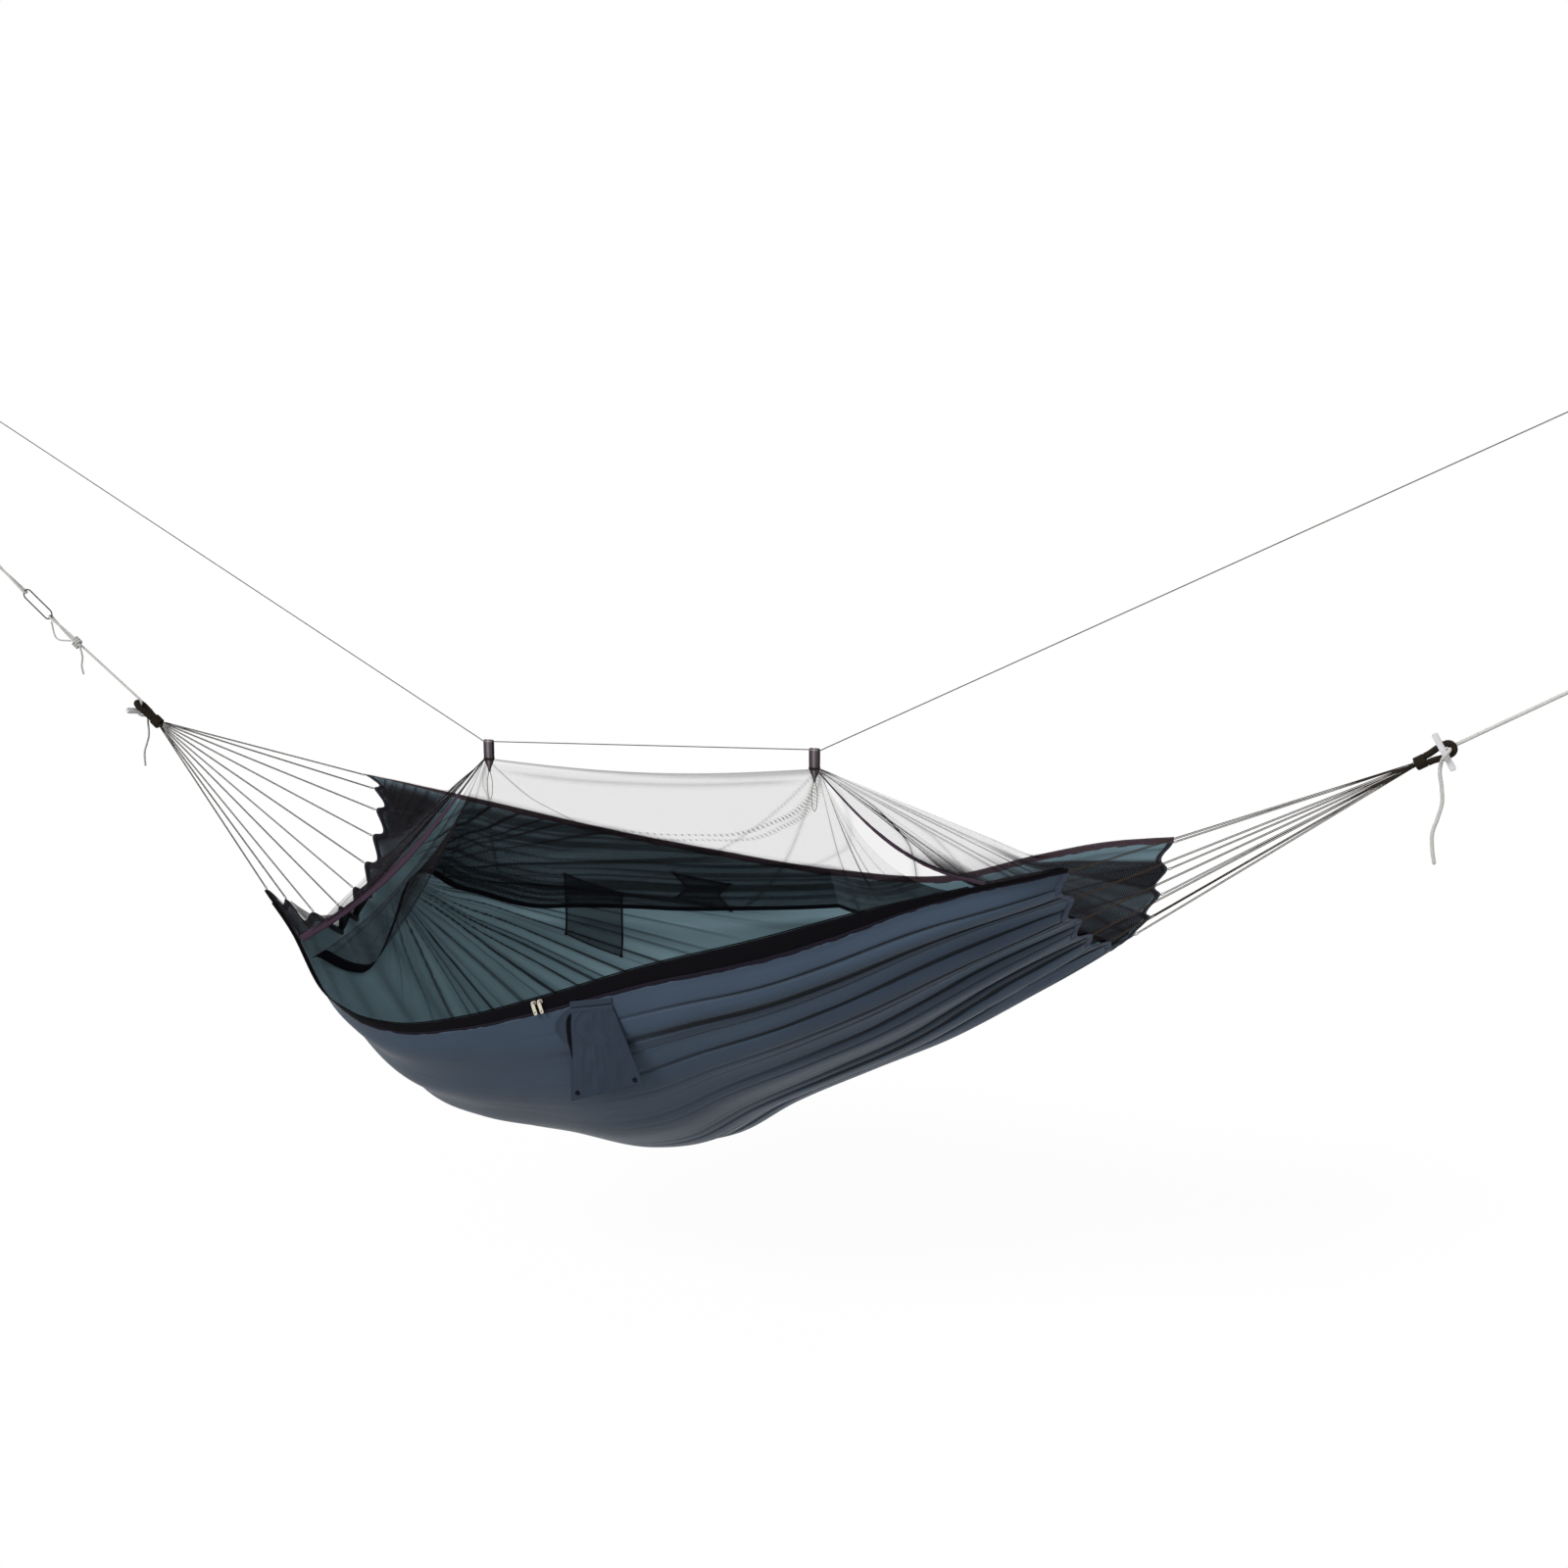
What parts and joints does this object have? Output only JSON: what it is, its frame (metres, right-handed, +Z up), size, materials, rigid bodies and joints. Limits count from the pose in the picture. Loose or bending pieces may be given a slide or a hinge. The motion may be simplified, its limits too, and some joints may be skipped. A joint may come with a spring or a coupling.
{
  "type": "hammock tent",
  "caption": "Gathered-end camping hammock with a zipped insect net hung from a ridge line, toggled rope suspension and a stow pouch.",
  "frame": {"origin": "middle of the loop at the tree end of the head main rope, where the hammock is tied up", "axes": "+Z up; +X from the head end to the foot end; -Y is the side with the zip"},
  "size_m": [3.5371, 0.7932, 1.5731],
  "materials": {
    "bed_cloth": "matt woven nylon, blue grey",
    "zip_tape": "black zip tape and coil",
    "net": "black fine-mesh netting",
    "binding": "purple-black bound seam",
    "webbing": "dark glossy webbing",
    "white_rope": "white braided rope",
    "dark_cord": "dark braided cord",
    "ridge_cord": "thin grey line",
    "whipping": "dark brown wound cord",
    "toggle_plastic": "satin light grey plastic",
    "zip_metal": "cream zip pull",
    "beige_cord": "thin beige cord"
  },
  "bodies": {
    "support": {"head_tree_loop": "white_rope", "foot_tree_loop": "white_rope", "ridge_line": "ridge_cord", "head_ridge_loop": "ridge_cord", "foot_ridge_loop": "ridge_cord", "head_ridge_tab": "webbing", "foot_ridge_tab": "webbing", "head_inner_cord": "beige_cord", "foot_inner_cord": "beige_cord", "net_canopy": "net", "net_door": "net", "net_door_hem": "zip_tape", "head_net_seam": "binding", "foot_net_seam": "binding"},
    "bed": {"bed_cloth": "bed_cloth", "head_hem": "binding", "foot_hem": "binding", "back_rim_binding": "binding", "front_zip_band": "zip_tape", "front_zip_coil": "zip_tape", "mesh_pocket": "net", "small_pocket": "net", "head_eye": "whipping", "head_whipping": "whipping", "foot_eye": "whipping", "foot_whipping": "whipping", "head_rope": "white_rope", "head_tail": "white_rope", "head_knot": "white_rope", "head_knot_loop": "white_rope", "head_knot_tail": "white_rope", "head_link": "dark_cord", "head_tree_rope": "white_rope", "foot_rope": "white_rope", "foot_tail": "white_rope", "head_cord_1": "dark_cord", "head_cord_2": "dark_cord", "head_cord_3": "dark_cord", "head_cord_4": "dark_cord", "head_cord_5": "dark_cord", "foot_cord_1": "dark_cord", "foot_cord_2": "dark_cord", "foot_cord_3": "dark_cord", "foot_cord_4": "dark_cord", "foot_cord_5": "dark_cord"},
    "head_toggle_bar": {"head_toggle": "toggle_plastic"},
    "foot_toggle_bar": {"foot_toggle": "toggle_plastic"},
    "head_slider": {"zip_slider_head": "zip_metal"},
    "foot_slider": {"zip_slider_foot": "zip_metal"},
    "head_pull": {"zip_pull_head": "zip_metal"},
    "foot_pull": {"zip_pull_foot": "zip_metal"},
    "pouch": {"stow_pouch": "bed_cloth"}
  },
  "joints": [
    {"name": "bed_swing", "type": "hinge", "parent": "support", "child": "bed", "pos_m": [0, 0, 0], "axis": [0.9993, 0, -0.0379], "range_deg": [-12, 12], "deforming": ["net_canopy", "net_door", "net_door_hem", "head_net_seam", "foot_net_seam"]},
    {"name": "head_toggle_slide", "type": "slide", "parent": "bed", "child": "head_toggle_bar", "axis": [-0.1994, -0.9659, 0.165], "range_m": [-0.025, 0.074]},
    {"name": "foot_toggle_slide", "type": "slide", "parent": "bed", "child": "foot_toggle_bar", "axis": [0.5, 0, -0.866], "range_m": [-0.025, 0.074]},
    {"name": "head_slider_slide", "type": "slide", "parent": "bed", "child": "head_slider", "axis": [0.9439, -0.0158, 0.3298], "range_m": [-0.1, 0]},
    {"name": "foot_slider_slide", "type": "slide", "parent": "bed", "child": "foot_slider", "axis": [0.9433, -0.0135, 0.3317], "range_m": [0, 0.2]},
    {"name": "head_pull_hinge", "type": "hinge", "parent": "head_slider", "child": "head_pull", "pos_m": [1.58801, -0.39208, -0.82042], "axis": [-0.9439, 0.0158, -0.3298], "range_deg": [-8, 150]},
    {"name": "foot_pull_hinge", "type": "hinge", "parent": "foot_slider", "child": "foot_pull", "pos_m": [1.60123, -0.39229, -0.81566], "axis": [-0.9433, 0.0135, -0.3317], "range_deg": [-8, 150]},
    {"name": "pouch_hinge", "type": "hinge", "parent": "bed", "child": "pouch", "pos_m": [1.66368, -0.38528, -0.82627], "axis": [-0.9806, 0, -0.1961], "range_deg": [0, 60]}
  ]
}
